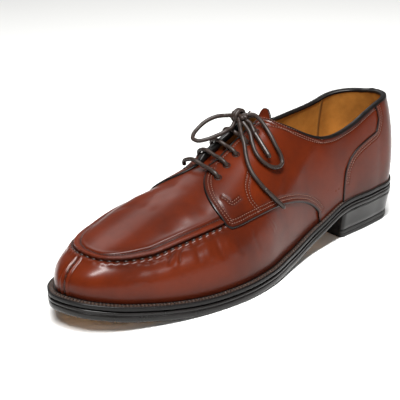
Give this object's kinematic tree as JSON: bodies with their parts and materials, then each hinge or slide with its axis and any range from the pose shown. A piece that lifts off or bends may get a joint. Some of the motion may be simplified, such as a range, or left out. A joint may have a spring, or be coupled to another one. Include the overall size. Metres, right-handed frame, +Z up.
{
  "type": "derby shoe",
  "caption": "Left split toe derby with a hand-sewn apron, open lacing over a tongue, a welted leather sole and a stacked heel with a top lift",
  "frame": {"origin": "on the floor under the middle of the heel", "axes": "+X from heel to toe, +Y to the outer side of the foot, +Z up"},
  "size_m": [0.3008, 0.1065, 0.1067],
  "materials": {
    "upper_leather": "polished reddish brown calf",
    "insole_leather": "plain tan",
    "welt_leather": "black, wheeled",
    "sole_leather": "black edge, satin",
    "lift_rubber": "matt",
    "waxed_cotton": "waxed round cord",
    "aglet_plastic": "clear over cord"
  },
  "bodies": {
    "root": {"upper": "upper_leather", "insole": "insole_leather", "tongue": "upper_leather", "welt": "welt_leather", "outsole": "sole_leather", "heel_stack": "sole_leather", "top_lift": "lift_rubber", "lace_bar_1": "waxed_cotton", "lace_bar_2": "waxed_cotton", "lace_bar_3": "waxed_cotton", "lace_bar_4": "waxed_cotton", "lace_bar_5": "waxed_cotton", "lace_knot": "waxed_cotton", "lace_loop_left": "waxed_cotton", "lace_loop_right": "waxed_cotton", "lace_end_long": "waxed_cotton", "lace_end_short": "waxed_cotton", "aglet_long": "aglet_plastic", "aglet_short": "aglet_plastic"}
  },
  "joints": []
}
